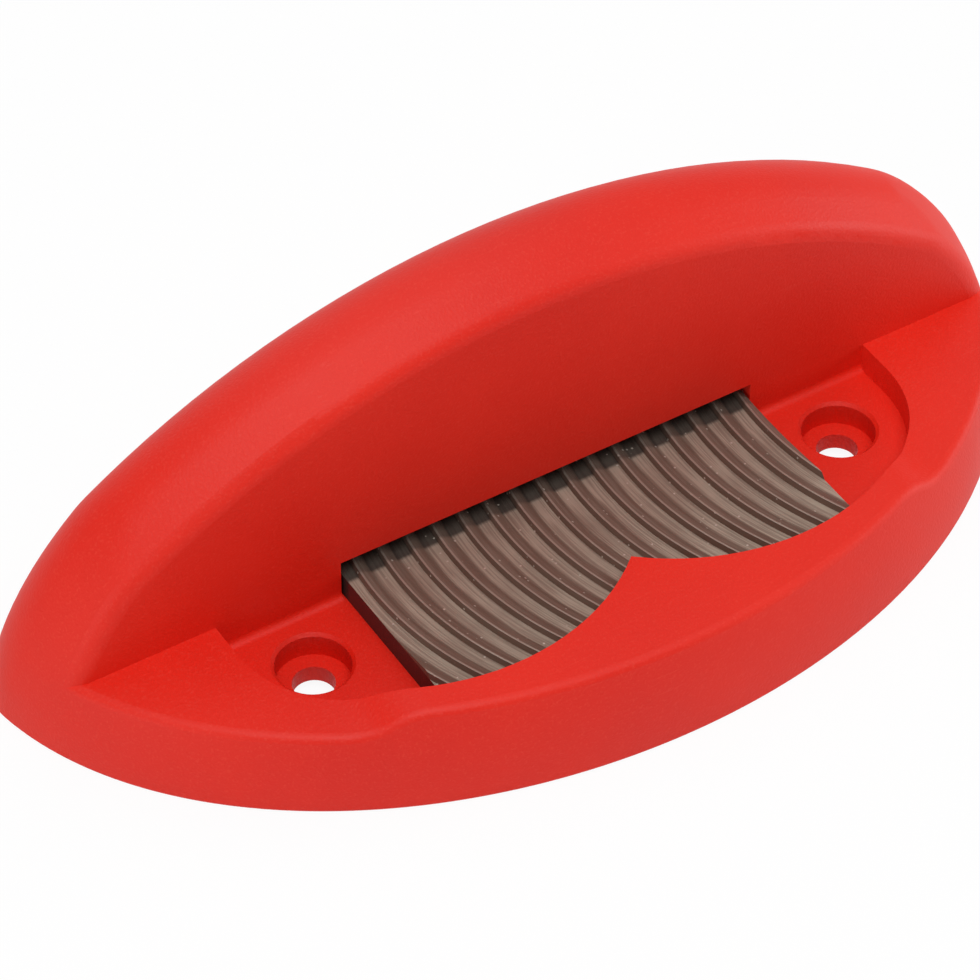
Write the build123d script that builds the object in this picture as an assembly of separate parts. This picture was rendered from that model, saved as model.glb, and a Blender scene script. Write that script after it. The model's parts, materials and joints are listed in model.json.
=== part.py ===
from build123d import *
import os
from math import cos, radians, sin, sqrt, tan

# Edge tuning tool, in millimetres.
# +Z is up, +X runs along the tool. The underside is z = 0, the guide face is the plane y = 0
# with the grip behind it (+Y), and x = 0 is the middle of the length.

os.makedirs("parts", exist_ok=True)

# ---------------------------------------------------------------- body, outside
SHELL_HALF_LENGTH = 61.0  # half axis of the pebble along X, at the underside
SHELL_HALF_DEPTH = 44.75  # half axis of the pebble along Y
SHELL_OVER_CREST = 1.95  # top of the pebble above the crest of the grip
SHELL_CENTRE_Y = 14.45  # where the pebble is longest
LEDGE_HEIGHT = 9.5  # underside to the ledge that carries the ski base
GRIP_ROUND = 7.0  # radius of the top and back of the grip
BROW_ROUND = 2.2  # round along the whole edge of the guide face
BROW_SLOPE = 30.0  # slope of the top of the grip just behind that round, degrees
GRIP_CREST = 38.65  # underside to the highest point of the grip
GRIP_ARCH = 86.8  # radius of the crest line, seen from the front
GRIP_LEAN = 15.0  # lean of the back wall from upright, degrees
GRIP_EDGE = 6.5  # round where the grip runs out into the pebble's ends
RIM_ROUND = 1.0  # round along the rim of the ledge and the lip
FOOT_ROUND = 0.4  # break along the outer edge of the underside

# ---------------------------------------------------------------- front lip
LIP_RISE = 2.2  # lip above the ledge
LIP_HALF_WIDTH = 28.0  # full height up to here
LIP_RAMP = 8.3  # length of the S-shaped ramp at each end

# ---------------------------------------------------------------- file pocket
POCKET_DEPTH = 3.5  # ledge to the pocket floor
POCKET_HALF_LENGTH = 40.0  # to the straight ends
POCKET_CORNER_CENTRE = (26.9, -4.2)  # x, y of the corner arc
LOBE_RADIUS = 26.2  # the two front lobes
LOBE_CENTRE = (17.2, 4.4)  # x, y of a lobe arc
FLOOR_THICKNESS = 2.55  # pocket floor
POCKET_COVE = 0.8  # hollow round between the pocket floor and the guide face

# ---------------------------------------------------------------- file
FILE_LENGTH = 50.0  # along X
FILE_WIDTH = 35.0  # along Y
FILE_THICKNESS = 3.5
FILE_FRONT = -22.4  # y of the front edge
TOOTH_PITCH = 3.175
TOOTH_RADIUS = 37.0  # curve of a tooth in plan
TOOTH_APEX_Y = -4.5
TOOTH_LAND = 0.15  # width of the flat on top of a tooth
TOOTH_BACK = 1.35  # width of the sloping back of a tooth
TOOTH_FACE = 0.15  # width taken by the steep face of a tooth
TOOTH_DEPTH = 0.7
TOOTH_START = 1.6  # x of one tooth apex, measured at the guide face

# ---------------------------------------------------------------- slot for the file
SLOT_SIDE_GAP = 0.3  # each side of the file
SLOT_HEIGHT = 4.9  # pocket floor to the top of the window
LIP_GAP = 0.1  # file to the underside of the lip
FRONT_GAP = 0.3  # file to the closed front of the pocket

# ---------------------------------------------------------------- mounting holes
HOLE_SPACING = 65.0
HOLE_Y = -6.5
HOLE_DIAMETER = 4.5
COUNTERBORE_DIAMETER = 8.0
COUNTERBORE_DEPTH = 2.95
HOLE_LAND = 2.0  # material under the counterbore
BOSS_DIAMETER = 12.0
COUNTERBORE_RIM = 0.35

# ---------------------------------------------------------------- body, inside
WALL = 3.0
RIB = 2.5
GUIDE_RIB_TOP = 18.0  # ribs inside the grip stop here

# ---------------------------------------------------------------- file carrier
CARRIER_SIDE_GAP = 0.3  # each side, in the rear slot
CARRIER_TOP_GAP = 0.15
CARRIER_BOTTOM_GAP = 0.15
CARRIER_TONGUE = 6.0  # length that laps over the rear margin of the file
CARRIER_PROUD = 3.2  # how far the pull stands out of the back wall
PULL_GAP = 0.3  # pull to the back wall
PULL_MARGIN = 1.2  # pull beyond the slot, all round
PULL_GROOVE = 1.0  # finger grooves in the pull

FAR = 200.0  # longer than anything here

SHELL_HALF_HEIGHT = GRIP_CREST + SHELL_OVER_CREST
POCKET_FLOOR = LEDGE_HEIGHT - POCKET_DEPTH
FILE_TOP = POCKET_FLOOR + FILE_THICKNESS
FILE_BACK = FILE_FRONT + FILE_WIDTH
SLOT_HALF_WIDTH = FILE_LENGTH / 2 + SLOT_SIDE_GAP
ARCH_CENTRE_Z = GRIP_CREST - GRIP_ARCH
COUNTERBORE_FLOOR = POCKET_FLOOR - COUNTERBORE_DEPTH
BOSS_BOTTOM = COUNTERBORE_FLOOR - HOLE_LAND
FLOOR_UNDERSIDE = POCKET_FLOOR - FLOOR_THICKNESS


def block(x0, x1, y0, y1, z0, z1):
    """A box between two corners."""
    return Pos((x0 + x1) / 2, (y0 + y1) / 2, (z0 + z1) / 2) * Box(x1 - x0, y1 - y0, z1 - z0)


def pebble(inset):
    """The ellipsoid that every outside wall lies on, shrunk by inset."""
    ball = Rotation(0, 0, 90) * Sphere(1)
    axes = (SHELL_HALF_LENGTH - inset, SHELL_HALF_DEPTH - inset, SHELL_HALF_HEIGHT - inset)
    return Pos(0, SHELL_CENTRE_Y, 0) * scale(ball, by=axes)


def grip_section(offset, slope):
    """Upright section of the grip at mid-length, grown outward by offset.

    The top is a full round, or with a slope it leaves the round early and runs straight
    down to the guide face, at that many degrees.
    """
    lean = radians(GRIP_LEAN)
    fall = radians(slope)
    radius = GRIP_ROUND + offset
    centre_z = GRIP_CREST - GRIP_ROUND
    face_y = -offset
    turn = (GRIP_ROUND - radius * sin(fall), centre_z + radius * cos(fall)) if slope else (face_y, centre_z)
    brow = (face_y, turn[1] - (turn[0] - face_y) * tan(fall))
    back_y = GRIP_ROUND + radius * cos(lean)
    back_z = centre_z + radius * sin(lean)
    low = -5.0
    foot_y = back_y + (back_z - low) * tan(lean)
    points = [turn, brow] if slope else [brow]
    points += [(face_y, low), (foot_y, low), (back_y, back_z)]
    sides = Polyline(*[(0, y, z) for y, z in points])
    top = ThreePointArc((0, back_y, back_z), (0, GRIP_ROUND, centre_z + radius), (0, *turn))
    return make_face(sides.edges() + top.edges())


def middle(edge):
    """The point halfway along an edge."""
    return edge @ 0.5


def grip_shape(offset, inset, slope=0.0):
    """The grip section swung along the arch and trimmed to the pebble."""
    axis = Axis((0, 0, ARCH_CENTRE_Z), (0, 1, 0))
    ring = revolve(grip_section(offset, slope), axis=axis, revolution_arc=360)
    return ring & pebble(inset) & block(-FAR, FAR, -FAR, FAR, 0, FAR)


def base_profile():
    """Front view of the ledge and the raised lip with its S-shaped ramps."""
    top = LEDGE_HEIGHT + LIP_RISE
    outer = LIP_HALF_WIDTH + LIP_RAMP
    middle = LIP_HALF_WIDTH + LIP_RAMP / 2
    halfway = LEDGE_HEIGHT + LIP_RISE / 2
    right_high = TangentArc((LIP_HALF_WIDTH, top), (middle, halfway), tangent=(1, 0))
    right_low = TangentArc((outer, LEDGE_HEIGHT), (middle, halfway), tangent=(-1, 0))
    left_high = TangentArc((-LIP_HALF_WIDTH, top), (-middle, halfway), tangent=(-1, 0))
    left_low = TangentArc((-outer, LEDGE_HEIGHT), (-middle, halfway), tangent=(1, 0))
    crown = Line((-LIP_HALF_WIDTH, top), (LIP_HALF_WIDTH, top))
    around = Polyline((outer, LEDGE_HEIGHT), (FAR, LEDGE_HEIGHT), (FAR, 0), (-FAR, 0),
                      (-FAR, LEDGE_HEIGHT), (-outer, LEDGE_HEIGHT))
    edges = crown.edges() + right_high.edges() + right_low.edges() + left_high.edges()
    return make_face(edges + left_low.edges() + around.edges())


def base_shape():
    """Ledge slab with the raised lip, its rim rounded."""
    sheet = Plane.XZ * base_profile()
    slab = extrude(sheet, FAR, both=True) & pebble(0)
    rim = [e for e in slab.edges() if e.center().Z > LEDGE_HEIGHT - 0.5 and abs(edge_turn(e)) > 0.5]
    slab = fillet(rim, RIM_ROUND)
    return slab & block(-FAR, FAR, -FAR, GRIP_ROUND, 0, FAR)


def edge_turn(edge):
    """Length of an edge in plan: the rim runs along the slab, the ramp lines cross it in Y."""
    start = edge @ 0
    end = edge @ 1
    if abs(start.X - end.X) < 0.01 and edge.geom_type == GeomType.LINE:
        return 0.0
    return 1.0


def pocket_outline():
    """Plan of the file pocket: straight ends, rounded corners and two lobes in front."""
    cx, cy = LOBE_CENTRE
    kx, ky = POCKET_CORNER_CENTRE
    corner_radius = POCKET_HALF_LENGTH - kx
    cusp = (0, cy - sqrt(LOBE_RADIUS**2 - cx**2))
    gap = sqrt((kx - cx) ** 2 + (ky - cy) ** 2)
    ux, uy = (kx - cx) / gap, (ky - cy) / gap
    along = (LOBE_RADIUS**2 - corner_radius**2 + gap**2) / (2 * gap)
    if along >= LOBE_RADIUS:
        join = (cx + LOBE_RADIUS * ux, cy + LOBE_RADIUS * uy)
    else:
        across = sqrt(LOBE_RADIUS**2 - along**2)
        join = (cx + along * ux + across * uy, cy + along * uy - across * ux)
    lobe = RadiusArc(cusp, join, -LOBE_RADIUS)
    corner = RadiusArc(join, (POCKET_HALF_LENGTH, ky), -corner_radius)
    end = Line((POCKET_HALF_LENGTH, ky), (POCKET_HALF_LENGTH, 0))
    back = Line((POCKET_HALF_LENGTH, 0), (0, 0))
    half = lobe.edges() + corner.edges() + end.edges() + back.edges()
    right = make_face(half + Line((0, 0), cusp).edges())
    return right + mirror(right, about=Plane.YZ)


def pocket_shape():
    """Pocket volume, open above the lip."""
    floor = Plane.XY.offset(POCKET_FLOOR) * pocket_outline()
    return extrude(floor, POCKET_DEPTH + LIP_RISE + 1)


def hole_places():
    """The two mounting holes."""
    return [Pos(-HOLE_SPACING / 2, HOLE_Y, 0), Pos(HOLE_SPACING / 2, HOLE_Y, 0)]


def coring():
    """Everything hollowed out from below."""
    front = pebble(WALL) & block(-FAR, FAR, -FAR, 0, -1, FLOOR_UNDERSIDE)
    rear = grip_shape(-WALL, WALL)
    rear = rear + (extrude(rear.faces().sort_by(Axis.Z)[0], 1.0, dir=(0, 0, -1)))
    side = SLOT_HALF_WIDTH + RIB / 2
    for x in (-side, 0, side):
        rear -= rib(x, GUIDE_RIB_TOP)
        front -= rib(x, FLOOR_UNDERSIDE)
    for place in hole_places():
        front -= place * Pos(0, 0, BOSS_BOTTOM) * Cylinder(
            BOSS_DIAMETER / 2, FAR, align=(Align.CENTER, Align.CENTER, Align.MIN))
    return [front, rear]


def rib(x, top):
    """An upright rib across the tool."""
    return block(x - RIB / 2, x + RIB / 2, -FAR, FAR, -2, top)


def slot_shape():
    """Straight slot behind the window, open at the rear, and the undercut below the lip."""
    top = POCKET_FLOOR + SLOT_HEIGHT
    rear = block(-SLOT_HALF_WIDTH, SLOT_HALF_WIDTH, -1, FAR, POCKET_FLOOR, top)
    front = block(-SLOT_HALF_WIDTH, SLOT_HALF_WIDTH, FILE_FRONT - FRONT_GAP, 0,
                  POCKET_FLOOR, FILE_TOP + LIP_GAP)
    return [rear, front]


def pocket_cove(side):
    """Hollow round between the pocket floor and the guide face, beside the window."""
    start, end = SLOT_HALF_WIDTH, POCKET_HALF_LENGTH
    bar = block(start, end, -POCKET_COVE, 0.5, POCKET_FLOOR - 0.5, POCKET_FLOOR + POCKET_COVE)
    hollow = Rotation(0, 90, 0) * Cylinder(POCKET_COVE, FAR)
    cove = bar - Pos(0, -POCKET_COVE, POCKET_FLOOR + POCKET_COVE) * hollow
    return cove if side > 0 else mirror(cove, about=Plane.YZ)


def counterbored_hole():
    """Through hole with a counterbore and a small rounded rim, from the pocket floor down."""
    low = (Align.CENTER, Align.CENTER, Align.MIN)
    through = Pos(0, 0, -1) * Cylinder(HOLE_DIAMETER / 2, POCKET_FLOOR + 2, align=low)
    bore = Pos(0, 0, COUNTERBORE_FLOOR) * Cylinder(COUNTERBORE_DIAMETER / 2, COUNTERBORE_DEPTH + 1,
                                                   align=low)
    rim = Pos(0, 0, POCKET_FLOOR - COUNTERBORE_RIM) * Cone(
        COUNTERBORE_DIAMETER / 2, COUNTERBORE_DIAMETER / 2 + COUNTERBORE_RIM, COUNTERBORE_RIM,
        align=low)
    return through + bore + rim


def make_body():
    """The moulded shell."""
    grip = grip_shape(0, 0, BROW_SLOPE)
    ends = [e for e in grip.edges() if middle(e).Z > 0.01 and middle(e).Y > 0.01 and abs(middle(e).X) > 45]
    grip = fillet(ends, min(GRIP_EDGE, 0.95 * GRIP_ROUND))
    brow = [e for e in grip.edges() if middle(e).Z > 0.01 and max((e @ 0).Y, middle(e).Y, (e @ 1).Y) < 0.01]
    grip = fillet(brow, min(BROW_ROUND, 0.4 * GRIP_ROUND))
    lap = 0.7 * GRIP_ROUND
    grip -= block(-FAR, FAR, -1, lap, -1, 0.5 * LEDGE_HEIGHT)
    body = grip + base_shape()
    foot = [e for e in body.edges() if abs(e.center().Z) < 0.01]
    body = fillet(foot, FOOT_ROUND) - pocket_shape()
    for side in (-1, 1):
        body += pocket_cove(side)
    for hollow in coring() + slot_shape():
        body -= hollow
    for place in hole_places():
        body -= place * counterbored_hole()
    return body


def tooth_cone(apex_x, top_radius, low_radius):
    """A cone about a tooth's centre, with one radius at the top of the file and one at the gullet."""
    low = (Align.CENTER, Align.CENTER, Align.MIN)
    over = 0.2
    spread = (top_radius - low_radius) * (TOOTH_DEPTH + over) / TOOTH_DEPTH
    cone = Cone(low_radius, low_radius + spread, TOOTH_DEPTH + over, align=low)
    return Pos(apex_x + TOOTH_RADIUS, TOOTH_APEX_Y, FILE_TOP - TOOTH_DEPTH) * cone


def tooth_groove(apex_x):
    """One curved gullet, from the land of a tooth to the steep face of the next."""
    behind = tooth_cone(apex_x, TOOTH_RADIUS - TOOTH_LAND, TOOTH_RADIUS - TOOTH_LAND - TOOTH_BACK)
    ahead = tooth_cone(apex_x + TOOTH_PITCH, TOOTH_RADIUS, TOOTH_RADIUS + TOOTH_FACE)
    return behind - ahead


def make_file():
    """The radial-tooth file blade."""
    blade = block(-FILE_LENGTH / 2, FILE_LENGTH / 2, FILE_FRONT, FILE_BACK, POCKET_FLOOR, FILE_TOP)
    first = TOOTH_START - 12 * TOOTH_PITCH
    grooves = [tooth_groove(first + i * TOOTH_PITCH) for i in range(21)]
    limit = block(-FILE_LENGTH / 2 - 1, FILE_LENGTH / 2 + 1, FILE_FRONT - 1,
                  FILE_BACK - CARRIER_TONGUE, POCKET_FLOOR, FAR)
    for groove in grooves:
        blade -= groove & limit
    return blade


def make_carrier():
    """The rear plug: a tongue over the file, a block behind it and a grooved pull outside."""
    top = POCKET_FLOOR + SLOT_HEIGHT - CARRIER_TOP_GAP
    bottom = POCKET_FLOOR + CARRIER_BOTTOM_GAP
    half = SLOT_HALF_WIDTH - CARRIER_SIDE_GAP
    plug = block(-half, half, FILE_BACK - CARRIER_TONGUE, FAR, bottom, top)
    plug -= block(-FAR, FAR, -FAR, FILE_BACK, -FAR, FILE_TOP)
    inside = grip_shape(CARRIER_PROUD, -CARRIER_PROUD)
    pull = block(-half - PULL_MARGIN, half + PULL_MARGIN, FILE_BACK, FAR,
                 bottom - PULL_MARGIN, top + PULL_MARGIN)
    pull = (pull & inside) - grip_shape(PULL_GAP, -PULL_GAP)
    carrier = (plug & inside) + pull
    middle = (top + bottom) / 2
    for dz in (-1.6, 0, 1.6):
        carrier -= (grip_shape(CARRIER_PROUD + 1, -CARRIER_PROUD - 1)
                    - grip_shape(CARRIER_PROUD - PULL_GROOVE, -CARRIER_PROUD)) & block(
            -half + 6, half - 6, FILE_BACK, FAR, middle + dz - 0.4, middle + dz + 0.4)
    return carrier


def main():
    export_step(make_body(), "parts/body.step")
    export_step(make_file(), "parts/file.step")
    export_step(make_carrier(), "parts/file_carrier.step")


main()
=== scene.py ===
"""Edge tuning tool: finishes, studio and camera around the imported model, in metres."""

import json
import logging
import math
from dataclasses import dataclass, field
from enum import Enum

import bpy
from mathutils import Matrix, Vector

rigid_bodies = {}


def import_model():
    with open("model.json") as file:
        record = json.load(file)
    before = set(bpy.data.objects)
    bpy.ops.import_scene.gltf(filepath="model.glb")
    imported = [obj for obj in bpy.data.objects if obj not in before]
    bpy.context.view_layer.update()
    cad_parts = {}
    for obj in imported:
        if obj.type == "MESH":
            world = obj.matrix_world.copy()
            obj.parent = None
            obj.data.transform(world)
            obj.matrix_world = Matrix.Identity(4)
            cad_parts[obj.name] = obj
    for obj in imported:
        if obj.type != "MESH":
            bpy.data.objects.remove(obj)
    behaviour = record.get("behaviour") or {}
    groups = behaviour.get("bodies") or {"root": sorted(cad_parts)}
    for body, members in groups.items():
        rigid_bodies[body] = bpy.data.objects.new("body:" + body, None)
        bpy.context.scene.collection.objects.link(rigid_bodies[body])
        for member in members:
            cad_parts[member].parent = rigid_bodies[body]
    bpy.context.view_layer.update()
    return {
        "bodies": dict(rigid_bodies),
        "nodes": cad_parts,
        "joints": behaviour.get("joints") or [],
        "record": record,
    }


log = logging.getLogger("edge_tool")

MM = 0.001
MM_PER_METRE = 1000.0
WHITE = (1.0, 1.0, 1.0, 1.0)
PLASTIC_IOR = 1.49
RELIEF = 0.05 * MM
NODE_COLUMN = 190
NODE_ROW = 170
NODE_ROWS = 6

Colour = tuple[float, float, float]
Triple = tuple[float, float, float]


class Packed(Enum):
    """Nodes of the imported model."""

    SHELL = "body"
    FILE = "file"
    CARRIER = "file_carrier"


# ---------------------------------------------------------------- node tools


@dataclass
class NodeBench:
    """A small helper that lays out one node tree."""

    tree: bpy.types.NodeTree
    column: int = 0

    def add(self, kind: str, **settings: object) -> bpy.types.Node:
        """Adds a node.

        Args:
            kind: Blender's node type.
            settings: Properties set on the node.

        Returns:
            The new node.
        """
        node = self.tree.nodes.new(kind)
        row = len(self.tree.nodes) % NODE_ROWS
        node.location = (self.column * NODE_COLUMN, -row * NODE_ROW)
        self.column += 1
        for name, value in settings.items():
            setattr(node, name, value)
        return node

    def join(self, out: bpy.types.NodeSocket, into: bpy.types.NodeSocket) -> None:
        """Links two sockets."""
        self.tree.links.new(out, into)

    def math(self, operation: str, a: object, b: object = 0.0,
             clamp: bool = False) -> bpy.types.NodeSocket:
        """Adds a Math node.

        Args:
            operation: Name of the operation.
            a: First value, a number or a socket.
            b: Second value, a number or a socket.
            clamp: Whether the result is kept between 0 and 1.

        Returns:
            The result socket.
        """
        node = self.add("ShaderNodeMath", operation=operation, use_clamp=clamp)
        for index, value in enumerate((a, b)):
            if isinstance(value, (int, float)):
                node.inputs[index].default_value = value
            else:
                self.join(value, node.inputs[index])
        return node.outputs[0]

    def times(self, a: object, b: object) -> bpy.types.NodeSocket:
        """Multiplies two values, each a number or a socket."""
        return self.math("MULTIPLY", a, b)

    def per_metre(self, size_mm: bpy.types.NodeSocket) -> bpy.types.NodeSocket:
        """Turns a size in millimetres into how many of it fit in a metre."""
        return self.math("DIVIDE", MM_PER_METRE, size_mm)

    def ramp(self, value: bpy.types.NodeSocket, low: float, high: float,
             falls: bool = False) -> bpy.types.NodeSocket:
        """Turns a range of a value into a smooth, clamped mask.

        Args:
            value: The input.
            low: Where the ramp starts.
            high: Where the ramp ends.
            falls: Whether the mask goes from 1 down to 0 instead of from 0 up to 1.

        Returns:
            The mask socket.
        """
        node = self.add("ShaderNodeMapRange", interpolation_type="SMOOTHSTEP", clamp=True)
        self.join(value, node.inputs["Value"])
        node.inputs["From Min"].default_value = low
        node.inputs["From Max"].default_value = high
        node.inputs["To Min"].default_value = 1.0 if falls else 0.0
        node.inputs["To Max"].default_value = 0.0 if falls else 1.0
        return node.outputs["Result"]

    def mix(self, factor: bpy.types.NodeSocket, first: object,
            second: object) -> bpy.types.NodeSocket:
        """Mixes two colours.

        Args:
            factor: Share of the second colour.
            first: A colour or a socket.
            second: A colour or a socket.

        Returns:
            The result socket.
        """
        node = self.add("ShaderNodeMix", data_type="RGBA", clamp_factor=True)
        self.join(factor, node.inputs[0])
        for socket, value in ((node.inputs[6], first), (node.inputs[7], second)):
            if isinstance(value, bpy.types.NodeSocket):
                self.join(value, socket)
            else:
                socket.default_value = (*value, 1.0)
        return node.outputs[2]

    def split(self, vector: bpy.types.NodeSocket) -> bpy.types.bpy_prop_collection:
        """Splits a vector.

        Args:
            vector: The vector socket.

        Returns:
            Its x, y and z sockets.
        """
        parts = self.add("ShaderNodeSeparateXYZ")
        self.join(vector, parts.inputs[0])
        return parts.outputs

    def noise(self, vector: bpy.types.NodeSocket, detail: float) -> bpy.types.Node:
        """Adds a 3D noise texture.

        Args:
            vector: Where it is read.
            detail: Its detail.

        Returns:
            The noise node.
        """
        node = self.add("ShaderNodeTexNoise", noise_dimensions="3D")
        node.inputs["Detail"].default_value = detail
        self.join(vector, node.inputs["Vector"])
        return node

    def bump(self, height: bpy.types.NodeSocket, strength: float,
             into: bpy.types.NodeSocket) -> None:
        """Raises a fine relief on a shader.

        Args:
            height: The relief.
            strength: How strongly it shows.
            into: The shader's Normal socket.
        """
        node = self.add("ShaderNodeBump")
        node.inputs["Strength"].default_value = strength
        node.inputs["Distance"].default_value = RELIEF
        self.join(height, node.inputs["Height"])
        self.join(node.outputs["Normal"], into)


@dataclass
class GroupKit:
    """A new shader node group with its bench, its input node and its output node."""

    tree: bpy.types.NodeTree
    bench: NodeBench
    start: bpy.types.Node
    end: bpy.types.Node

    @classmethod
    def new(cls, name: str, inputs: dict[str, float], outputs: list[str]) -> "GroupKit":
        """Starts a group with an object-space vector input.

        Args:
            name: Name of the group.
            inputs: Number inputs and their defaults.
            outputs: Number outputs.
        """
        tree = bpy.data.node_groups.new(name, "ShaderNodeTree")
        face = tree.interface
        face.new_socket("Vector", in_out="INPUT", socket_type="NodeSocketVector")
        for key, value in inputs.items():
            socket = face.new_socket(key, in_out="INPUT", socket_type="NodeSocketFloat")
            socket.default_value = value
        for key in outputs:
            face.new_socket(key, in_out="OUTPUT", socket_type="NodeSocketFloat")
        bench = NodeBench(tree)
        return cls(tree, bench, bench.add("NodeGroupInput"), bench.add("NodeGroupOutput"))


class Effects:
    """Shared surface effects, each a node group built once."""

    FLECK_RANGE = (0.52, 0.72)
    PIT_SCALE = 1.3
    PIT_SHARE = 0.5
    MARK_LEVEL = 0.86
    MARK_REACH = 0.5
    MARK_GAIN = 8.0
    LINE_RANGE = (0.42, 0.62)
    LINE_SCALE = 0.9
    LINE_DRIFT = 0.12
    SPECK_EDGE = (0.12, 0.30)

    def __init__(self) -> None:
        """Builds the groups."""
        self.grain = self._grain()
        self.cloud = self._cloud()
        self.strokes = self._strokes()
        self.chatter = self._chatter()
        self.specks = self._specks()

    def _grain(self) -> bpy.types.NodeTree:
        """Fine spark-eroded texture of a moulding: a height and a fleck mask."""
        kit = GroupKit.new("moulded_grain", {"Size mm": 0.35, "Roundness": 0.5},
                           ["Height", "Flecks"])
        bench, vector = kit.bench, kit.start.outputs["Vector"]
        scale = bench.per_metre(kit.start.outputs["Size mm"])
        noise = bench.noise(vector, 3.0)
        bench.join(scale, noise.inputs["Scale"])
        bench.join(kit.start.outputs["Roundness"], noise.inputs["Roughness"])
        cells = bench.add("ShaderNodeTexVoronoi", feature="SMOOTH_F1")
        bench.join(vector, cells.inputs["Vector"])
        bench.join(bench.times(scale, self.PIT_SCALE), cells.inputs["Scale"])
        pits = bench.times(cells.outputs["Distance"], self.PIT_SHARE)
        bench.join(bench.math("ADD", noise.outputs[0], pits), kit.end.inputs["Height"])
        flecks = bench.ramp(noise.outputs[0], *self.FLECK_RANGE)
        bench.join(flecks, kit.end.inputs["Flecks"])
        return kit.tree

    def _cloud(self) -> bpy.types.NodeTree:
        """Broad uneven tone: a value around one half."""
        kit = GroupKit.new("uneven_tone", {"Size mm": 20.0, "Contrast": 1.0}, ["Value"])
        bench = kit.bench
        noise = bench.noise(kit.start.outputs["Vector"], 4.0)
        bench.join(bench.per_metre(kit.start.outputs["Size mm"]), noise.inputs["Scale"])
        centred = bench.math("SUBTRACT", noise.outputs[0], 0.5)
        spread = bench.times(centred, bench.times(kit.start.outputs["Contrast"], 2.0))
        bench.join(bench.math("ADD", spread, 0.5, clamp=True), kit.end.inputs["Value"])
        return kit.tree

    def _strokes(self) -> bpy.types.NodeTree:
        """Thin rubbing marks that run along the tool: a mask."""
        kit = GroupKit.new("rub_marks", {"Width mm": 0.25, "Length mm": 9.0, "Amount": 0.3},
                           ["Mask"])
        bench = kit.bench
        parts = bench.split(kit.start.outputs["Vector"])
        long_way = bench.per_metre(kit.start.outputs["Length mm"])
        across = bench.per_metre(kit.start.outputs["Width mm"])
        joined = bench.add("ShaderNodeCombineXYZ")
        for index, stretch in enumerate((long_way, across, across)):
            bench.join(bench.times(parts[index], stretch), joined.inputs[index])
        noise = bench.noise(joined.outputs[0], 2.0)
        noise.inputs["Scale"].default_value = 1.0
        reach = bench.times(kit.start.outputs["Amount"], self.MARK_REACH)
        above = bench.math("SUBTRACT", noise.outputs[0],
                           bench.math("SUBTRACT", self.MARK_LEVEL, reach))
        masked = bench.math("MULTIPLY", above, self.MARK_GAIN, clamp=True)
        bench.join(masked, kit.end.inputs["Mask"])
        return kit.tree

    def _chatter(self) -> bpy.types.NodeTree:
        """Fine lines that follow the curved teeth, and the place within a tooth.

        The place is 0 at a tooth's tip and grows to 1 just short of the next tip.
        """
        kit = GroupKit.new("cutter_lines",
                           {"Pitch mm": 0.2, "Radius mm": 37.0, "Centre y mm": -4.5,
                            "Tooth mm": 3.175, "Tip x mm": 1.6},
                           ["Lines", "Place"])
        bench, given = kit.bench, kit.start.outputs
        radius = given["Radius mm"]
        parts = bench.split(given["Vector"])
        ahead = bench.math("SUBTRACT", bench.times(parts[1], MM_PER_METRE),
                           given["Centre y mm"])
        bow = bench.math("SQRT", bench.math("SUBTRACT", bench.times(radius, radius),
                                            bench.times(ahead, ahead)))
        along = bench.math("ADD", bench.times(parts[0], MM_PER_METRE), bow)
        joined = bench.add("ShaderNodeCombineXYZ")
        bench.join(bench.math("DIVIDE", along, given["Pitch mm"]), joined.inputs[0])
        bench.join(bench.times(ahead, self.LINE_DRIFT), joined.inputs[1])
        noise = bench.noise(joined.outputs[0], 2.0)
        noise.inputs["Scale"].default_value = self.LINE_SCALE
        lines = bench.ramp(noise.outputs[0], *self.LINE_RANGE)
        bench.join(lines, kit.end.inputs["Lines"])
        tip = bench.math("ADD", given["Tip x mm"], radius)
        teeth = bench.math("DIVIDE", bench.math("SUBTRACT", along, tip), given["Tooth mm"])
        bench.join(bench.math("FRACT", teeth), kit.end.inputs["Place"])
        return kit.tree

    def _specks(self) -> bpy.types.NodeTree:
        """Scattered bright specks of bare metal: a mask."""
        kit = GroupKit.new("bright_specks", {"Size mm": 0.5, "Share": 0.09}, ["Mask"])
        bench = kit.bench
        cells = bench.add("ShaderNodeTexVoronoi", feature="F1")
        bench.join(kit.start.outputs["Vector"], cells.inputs["Vector"])
        bench.join(bench.per_metre(kit.start.outputs["Size mm"]), cells.inputs["Scale"])
        picked = bench.add("ShaderNodeSeparateColor")
        bench.join(cells.outputs["Color"], picked.inputs[0])
        chosen = bench.math("LESS_THAN", picked.outputs[0], kit.start.outputs["Share"])
        near = bench.ramp(cells.outputs["Distance"], *self.SPECK_EDGE, falls=True)
        bench.join(bench.times(chosen, near), kit.end.inputs["Mask"])
        return kit.tree


# ---------------------------------------------------------------- finishes


@dataclass
class Finishing:
    """A new material on object coordinates, with its bench and its Principled shader."""

    material: bpy.types.Material
    bench: NodeBench
    shader: bpy.types.Node
    place: bpy.types.NodeSocket

    @classmethod
    def new(cls, name: str) -> "Finishing":
        """Starts a material.

        Args:
            name: Name of the material.

        Returns:
            The material with its tools.
        """
        material = bpy.data.materials.new(name)
        material.use_nodes = True
        bench = NodeBench(material.node_tree)
        place = bench.add("ShaderNodeTexCoord").outputs["Object"]
        return cls(material, bench, material.node_tree.nodes["Principled BSDF"], place)

    def effect(self, group: bpy.types.NodeTree,
               values: dict[str, float]) -> bpy.types.bpy_prop_collection:
        """Places a shared effect in the material.

        Args:
            group: The effect.
            values: The effect's own inputs.

        Returns:
            The effect's outputs.
        """
        node = self.bench.add("ShaderNodeGroup", node_tree=group)
        self.bench.join(self.place, node.inputs["Vector"])
        for key, value in values.items():
            node.inputs[key].default_value = value
        return node.outputs


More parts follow.
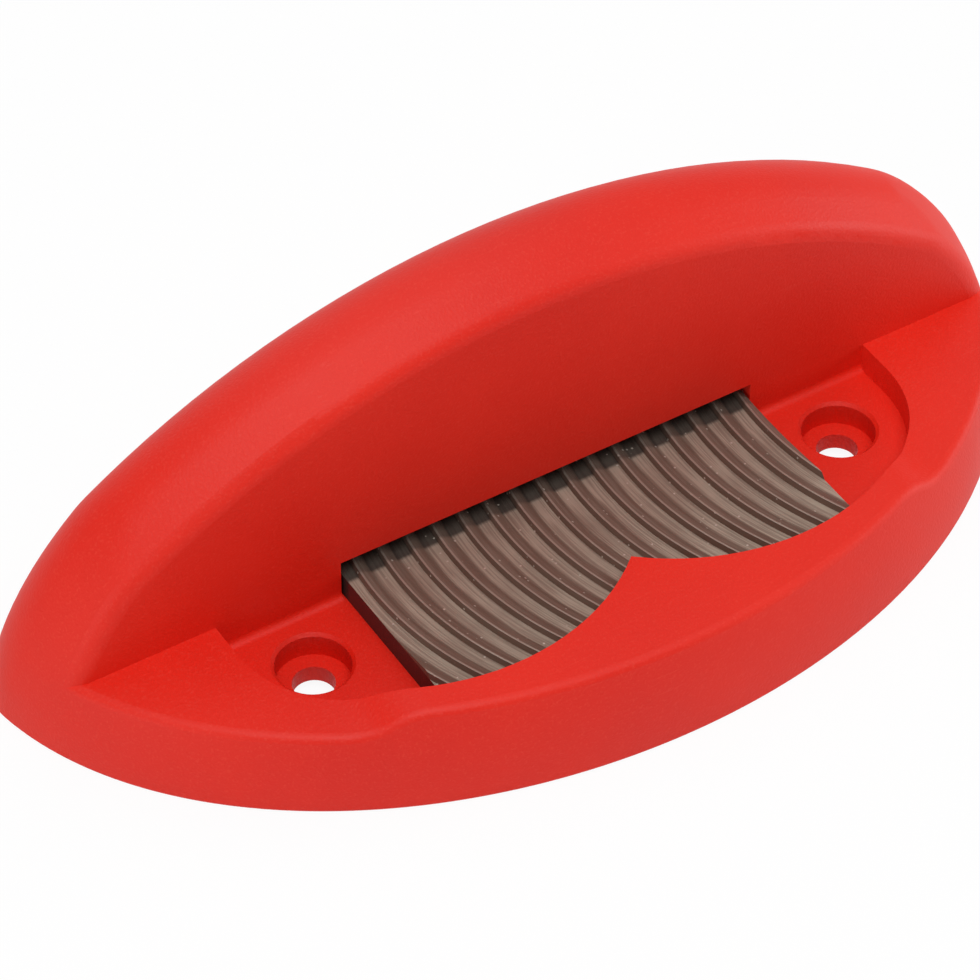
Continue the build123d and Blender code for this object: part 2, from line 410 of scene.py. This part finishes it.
@dataclass(frozen=True)
class MouldedPlastic:
    """Spark-textured moulded plastic with painted glints, uneven in tone and faintly rubbed."""

    name: str
    base: Colour
    # Colour of the painted glints on the grain flecks, and of the lighter rub scuffs.
    glint_and_scuff: Colour
    deep: Colour
    grain_mm: float
    grain_bump: float
    roughness: float
    specular_level: float
    # Share of the painted glints on the grain flecks.
    painted_glint_share: float
    cloud_mm: float = 26.0
    cloud_contrast: float = 1.4
    rub_amount: float = 0.42
    rub_share: float = 0.10
    cloud_roughness: float = 0.08
    fleck_roughness: float = 0.06
    rub_smoothness: float = 0.05

    def build(self, effects: Effects) -> bpy.types.Material:
        """Makes the material.

        Args:
            effects: Shared surface effects.

        Returns:
            The material.
        """
        work = Finishing.new(self.name)
        bench, shader = work.bench, work.shader
        cloud = work.effect(effects.cloud, {"Size mm": self.cloud_mm,
                                            "Contrast": self.cloud_contrast})["Value"]
        grain = work.effect(effects.grain, {"Size mm": self.grain_mm})
        rub = work.effect(effects.strokes, {"Amount": self.rub_amount})["Mask"]
        flecks = grain["Flecks"]
        tone = bench.mix(cloud, self.deep, self.base)
        # Painted glints: grain flecks lightened towards the glint colour.
        tone = bench.mix(bench.times(flecks, self.painted_glint_share), tone, self.glint_and_scuff)
        tone = bench.mix(bench.times(rub, self.rub_share), tone, self.glint_and_scuff)
        bench.join(tone, shader.inputs["Base Color"])
        smoothest = self.roughness - self.fleck_roughness
        rough = bench.math("ADD", smoothest, bench.times(cloud, self.cloud_roughness))
        rough = bench.math("ADD", rough, bench.times(flecks, self.fleck_roughness))
        rough = bench.math("SUBTRACT", rough, bench.times(rub, self.rub_smoothness))
        bench.join(rough, shader.inputs["Roughness"])
        bench.bump(grain["Height"], self.grain_bump, shader.inputs["Normal"])
        shader.inputs["IOR"].default_value = PLASTIC_IOR
        shader.inputs["Specular IOR Level"].default_value = self.specular_level
        return work.material


@dataclass(frozen=True)
class FileSteel:
    """Curved-tooth file steel.

    Pale gullets with a painted reflection, a band of painted shade just after each tip, brown
    sloping backs in painted shade, a painted highlight along the tips, painted shade on the
    steep faces and on the sides with a painted red reflection there, a painted shadow along the
    guide face's window, and specks of bare metal.
    """

    name: str
    # Flat gullet floors carry a painted reflection, and the sloping backs carry painted brown
    # shade.
    gullet_with_painted_reflection: Colour
    back_painted_shade: Colour
    # The tip colour paints a highlight along the tooth tips, and also colours the bare-metal
    # specks.
    tip: Colour
    # The face colour paints shade on the steep tooth faces, and also darkens the uneven tone.
    face: Colour
    # Painted shade with a painted red reflection on the file's sides.
    flank_shade_and_red_reflection: Colour
    # Colour of the painted shadow under the guide face's window.
    window_shadow: Colour
    top_mm: float
    depth_mm: float
    tip_mm: tuple[float, float] = (0.10, 0.01)
    raised_mm: tuple[float, float] = (0.02, 0.16)
    inside_mm: tuple[float, float] = (-0.06, -0.01)
    fine_mm: float = 0.21
    coarse_mm: float = 0.55
    speck_mm: float = 0.55
    cloud_mm: float = 6.0
    cloud_contrast: float = 1.5
    grain_mm: float = 0.20
    line_share: float = 0.50
    # Band of painted shade just after each tip: its range within a tooth, its wander and its
    # share.
    shade_band: tuple[float, float] = (0.42, 0.60)
    shade_band_wander: float = 0.10
    shade_band_share: float = 0.75
    slope_share: float = 0.16
    cloud_share: float = 0.34
    tip_highlight_share: float = 0.42
    upright: tuple[float, float] = (0.35, 0.62)
    # Painted shadow along the window: where it lies, how strong it is, and how much weaker it
    # is on the raised backs.
    window_shadow_y_mm: tuple[float, float] = (-1.25, -0.65)
    window_shadow_share: float = 0.85
    window_shadow_off_backs: float = 0.45
    roughness: float = 0.60
    tip_smoothness: float = 0.18
    speck_smoothness: float = 0.25
    grain_roughness: float = 0.08
    metallic: float = 0.35
    line_bump: float = 0.40

    def build(self, effects: Effects) -> bpy.types.Material:
        """Makes the material.

        Args:
            effects: Shared surface effects.

        Returns:
            The material.
        """
        work = Finishing.new(self.name)
        bench, shader = work.bench, work.shader
        place = bench.split(work.place)
        normal = bench.add("ShaderNodeNewGeometry").outputs["True Normal"]
        steep = bench.ramp(bench.split(normal)[2], *self.upright, falls=True)
        root_mm = self.top_mm - self.depth_mm
        raised = self._past(bench, place[2], *(root_mm + lift for lift in self.raised_mm))
        # Painted highlight: a thin band at the top of each tooth.
        tip_highlight = self._past(bench, place[2], *(self.top_mm - drop for drop in self.tip_mm))
        inside = self._past(bench, place[2], *(root_mm + lift for lift in self.inside_mm))
        cloud = work.effect(effects.cloud, {"Size mm": self.cloud_mm,
                                            "Contrast": self.cloud_contrast})["Value"]
        grain = work.effect(effects.grain, {"Size mm": self.grain_mm})
        fine = work.effect(effects.chatter, {"Pitch mm": self.fine_mm})
        coarse = work.effect(effects.chatter, {"Pitch mm": self.coarse_mm})["Lines"]
        specks = work.effect(effects.specks, {"Size mm": self.speck_mm})["Mask"]
        # Painted shade: a brown band just after each tip on the gullet floor.
        wander = bench.times(bench.math("SUBTRACT", coarse, 0.5), self.shade_band_wander)
        shade_band_mask = bench.ramp(bench.math("ADD", fine["Place"], wander), *self.shade_band, falls=True)
        # Painted reflection on the floors in the pale colour; the fine lines are cutter
        # chatter.
        tone = bench.mix(bench.times(fine["Lines"], self.line_share), self.gullet_with_painted_reflection, self.back_painted_shade)
        tone = bench.mix(bench.times(shade_band_mask, self.shade_band_share), tone, self.back_painted_shade)
        # Painted brown shade on the raised slopes, with coarse chatter lines.
        slope = bench.mix(bench.times(coarse, self.slope_share), self.back_painted_shade, self.gullet_with_painted_reflection)
        tone = bench.mix(raised, tone, slope)
        tone = bench.mix(bench.times(cloud, self.cloud_share), tone, self.face)
        # Painted highlight along the tooth tips.
        tone = bench.mix(bench.times(tip_highlight, self.tip_highlight_share), tone, self.tip)
        # Painted shade on the steep faces, and on the sides with a painted red reflection.
        steep_painted_shade = bench.mix(inside, self.flank_shade_and_red_reflection, bench.mix(coarse, self.face, self.back_painted_shade))
        tone = bench.mix(steep, tone, steep_painted_shade)
        # Painted shadow along the guide face's window, weaker on the raised backs.
        window_shadow_mask = bench.times(self._past(bench, place[1], *self.window_shadow_y_mm), bench.math(
            "SUBTRACT", 1.0, bench.times(raised, self.window_shadow_off_backs)))
        tone = bench.mix(bench.times(window_shadow_mask, self.window_shadow_share), tone, self.window_shadow)
        bright = bench.times(specks, inside)
        bench.join(bench.mix(bright, tone, self.tip), shader.inputs["Base Color"])
        rough = bench.math("SUBTRACT", self.roughness, bench.times(tip_highlight, self.tip_smoothness))
        rough = bench.math("SUBTRACT", rough, bench.times(bright, self.speck_smoothness))
        rough = bench.math("ADD", rough, bench.times(grain["Flecks"], self.grain_roughness))
        bench.join(rough, shader.inputs["Roughness"])
        shader.inputs["Metallic"].default_value = self.metallic
        relief = bench.math("ADD", grain["Height"], fine["Lines"])
        bench.bump(relief, self.line_bump, shader.inputs["Normal"])
        return work.material

    @staticmethod
    def _past(bench: NodeBench, metres: bpy.types.NodeSocket, low_mm: float,
              high_mm: float) -> bpy.types.NodeSocket:
        """Masks what lies past a place given in millimetres.

        Args:
            bench: The material's bench.
            metres: A coordinate in metres.
            low_mm: Where the mask starts to rise.
            high_mm: Where it is full.

        Returns:
            The mask socket.
        """
        return bench.ramp(metres, low_mm * MM, high_mm * MM)


RED = MouldedPlastic("red_moulded_plastic", base=(0.725, 0.017, 0.005),
                     glint_and_scuff=(0.82, 0.100, 0.066), deep=(0.665, 0.012, 0.003), grain_mm=0.30,
                     grain_bump=0.75, roughness=0.56, specular_level=0.32, painted_glint_share=0.15)
BLACK = MouldedPlastic("black_moulded_plastic", base=(0.024, 0.024, 0.027),
                       glint_and_scuff=(0.07, 0.07, 0.075), deep=(0.015, 0.015, 0.017), grain_mm=0.35,
                       grain_bump=0.45, roughness=0.5, specular_level=0.45, painted_glint_share=0.35)
STEEL = FileSteel("radial_file_steel", gullet_with_painted_reflection=(0.36, 0.293, 0.228), back_painted_shade=(0.142, 0.086, 0.062),
                  tip=(0.46, 0.40, 0.34), face=(0.135, 0.078, 0.055),
                  flank_shade_and_red_reflection=(0.070, 0.013, 0.011), window_shadow=(0.016, 0.010, 0.008), top_mm=9.5,
                  depth_mm=0.7)


def paint(piece: bpy.types.Object, material: bpy.types.Material) -> None:
    """Puts one material on all of a piece.

    Args:
        piece: The object.
        material: The material.
    """
    if not piece.material_slots:
        piece.data.materials.append(material)
    for material_slot in piece.material_slots:
        material_slot.material = material


# ---------------------------------------------------------------- the tool


@dataclass
class PackedPart:
    """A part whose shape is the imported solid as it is, and which gets its finish here."""

    node: Packed
    finish: MouldedPlastic | FileSteel

    def dress(self, frame: dict, effects: Effects) -> None:
        """Gives the part its finish.

        Args:
            frame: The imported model.
            effects: Shared surface effects.
        """
        paint(frame["nodes"][self.node.value], self.finish.build(effects))
        log.info("dressed %s in %s", self.node.value, self.finish.name)


@dataclass
class Shell(PackedPart):
    """The moulded shell with its notch, lip and grip."""

    node: Packed = Packed.SHELL
    finish: MouldedPlastic = RED


@dataclass
class FileBlade(PackedPart):
    """The radial-tooth file."""

    node: Packed = Packed.FILE
    finish: FileSteel = STEEL


@dataclass
class Carrier(PackedPart):
    """The rear plug with its pull."""

    node: Packed = Packed.CARRIER
    finish: MouldedPlastic = BLACK


# ---------------------------------------------------------------- studio


def show_white(bench: NodeBench, share: float, lit: bpy.types.Node, white: bpy.types.Node,
               surface: bpy.types.NodeSocket) -> None:
    """Shows white to the camera, gloss and glass, and the plain shader to all other rays.

    Args:
        bench: The bench of the tree.
        share: How much of what those rays see is white.
        lit: The plain shader.
        white: The white shader.
        surface: The tree's Surface socket.
    """
    path = bench.add("ShaderNodeLightPath").outputs
    seen = bench.math("MAXIMUM", path["Is Camera Ray"], path["Is Glossy Ray"])
    seen = bench.math("MAXIMUM", seen, path["Is Transmission Ray"])
    mixer = bench.add("ShaderNodeMixShader")
    bench.join(bench.times(seen, share), mixer.inputs[0])
    bench.join(lit.outputs[0], mixer.inputs[1])
    bench.join(white.outputs[0], mixer.inputs[2])
    bench.join(mixer.outputs[0], surface)


@dataclass
class AreaLamp:
    """One soft round lamp, aimed at the tool."""

    name: str
    place: Triple
    size: float
    power: float

    def build(self, target: Vector) -> None:
        """Adds the lamp.

        Args:
            target: The point it is aimed at.
        """
        data = bpy.data.lights.new(self.name, "AREA")
        data.shape = "DISK"
        data.size = self.size
        data.energy = self.power
        lamp = bpy.data.objects.new(self.name, data)
        lamp.location = self.place
        lamp.rotation_euler = (Vector(self.place) - target).to_track_quat("Z", "Y").to_euler()
        bpy.context.scene.collection.objects.link(lamp)


@dataclass
class Studio:
    """Pale floor, soft lamps and a surround that looks white to the camera."""

    world_strength: float = 0.18
    floor_colour: Colour = (0.9, 0.9, 0.9)
    floor_roughness: float = 0.9
    floor_size: float = 6.0
    floor_drop: float = 0.05 * MM
    floor_white: float = 0.92
    target: Triple = (0.0, 0.0, 0.015)
    lamps: list[AreaLamp] = field(default_factory=lambda: [
        AreaLamp("overhead_softbox", (0.12, 0.24, 0.74), 0.75, 1.4),
        AreaLamp("high_softbox", (-0.15, -0.30, 0.80), 0.60, 4.6),
        AreaLamp("right_fill", (0.80, -0.22, 0.16), 0.40, 2.6),
        AreaLamp("left_fill", (-0.80, -0.22, 0.16), 0.40, 1.5),
        AreaLamp("back_fill", (0.05, 0.75, 0.45), 0.60, 0.8),
    ])

    def build(self) -> None:
        """Builds the floor, the lamps and the world."""
        self._floor()
        for lamp in self.lamps:
            lamp.build(Vector(self.target))
        self._world()

    def _floor(self) -> None:
        """A wide plane just below the tool, white to the camera but for the tool's shadow."""
        bpy.ops.mesh.primitive_plane_add(size=self.floor_size,
                                         location=(0.0, 0.0, -self.floor_drop))
        floor = bpy.context.object
        floor.name = "floor"
        material = bpy.data.materials.new("floor_white")
        material.use_nodes = True
        nodes = material.node_tree.nodes
        shader = nodes["Principled BSDF"]
        shader.inputs["Base Color"].default_value = (*self.floor_colour, 1.0)
        shader.inputs["Roughness"].default_value = self.floor_roughness
        bench = NodeBench(material.node_tree)
        glow = bench.add("ShaderNodeEmission")
        glow.inputs["Strength"].default_value = 1.0
        show_white(bench, self.floor_white, shader, glow,
                   nodes["Material Output"].inputs["Surface"])
        paint(floor, material)

    def _world(self) -> None:
        """An even surround, white where the camera, gloss or glass sees it."""
        world = bpy.data.worlds.new("surround")
        bpy.context.scene.world = world
        world.use_nodes = True
        nodes = world.node_tree.nodes
        lit = nodes["Background"]
        lit.inputs["Strength"].default_value = self.world_strength
        lit.inputs["Color"].default_value = WHITE
        bench = NodeBench(world.node_tree)
        seen = bench.add("ShaderNodeBackground")
        seen.inputs["Strength"].default_value = 1.0
        show_white(bench, 1.0, lit, seen, nodes["World Output"].inputs["Surface"])


@dataclass
class ViewCamera:
    """The main camera: a long lens looking down at the notch from the front left."""

    place: Triple = (-0.181667, -0.275534, 0.333814)
    yaw_deg: float = 32.317
    elevation_deg: float = 44.617
    roll_deg: float = 0.415
    lens_mm: float = 162.94
    sensor_mm: float = 36.0
    clip_start: float = 0.01

    def build(self) -> None:
        """Adds the camera and makes it the scene's own."""
        yaw, tilt, roll = (math.radians(angle) for angle in
                           (self.yaw_deg, self.elevation_deg, self.roll_deg))
        ahead = Vector((math.sin(yaw) * math.cos(tilt), math.cos(yaw) * math.cos(tilt),
                        -math.sin(tilt)))
        level = Vector((math.cos(yaw), -math.sin(yaw), 0.0))
        above = level.cross(ahead)
        right = level * math.cos(roll) + above * math.sin(roll)
        upward = above * math.cos(roll) - level * math.sin(roll)
        data = bpy.data.cameras.new("main_camera")
        data.lens = self.lens_mm
        data.sensor_width = self.sensor_mm
        data.dof.use_dof = False
        data.clip_start = self.clip_start
        camera = bpy.data.objects.new("main_camera", data)
        turn = Matrix((right, upward, -ahead)).transposed()
        camera.matrix_world = Matrix.Translation(self.place) @ turn.to_4x4()
        bpy.context.scene.collection.objects.link(camera)
        bpy.context.scene.camera = camera


# ---------------------------------------------------------------- main


def main() -> None:
    """Builds the scene in order and reports each piece."""
    logging.basicConfig(level=logging.INFO, format="%(name)s: %(message)s")
    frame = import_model()
    scene = bpy.context.scene
    scene.view_settings.view_transform = "Standard"
    effects = Effects()
    for part in (Shell(), FileBlade(), Carrier()):
        part.dress(frame, effects)
    Studio().build()
    ViewCamera().build()


if __name__ == "__main__":
    main()
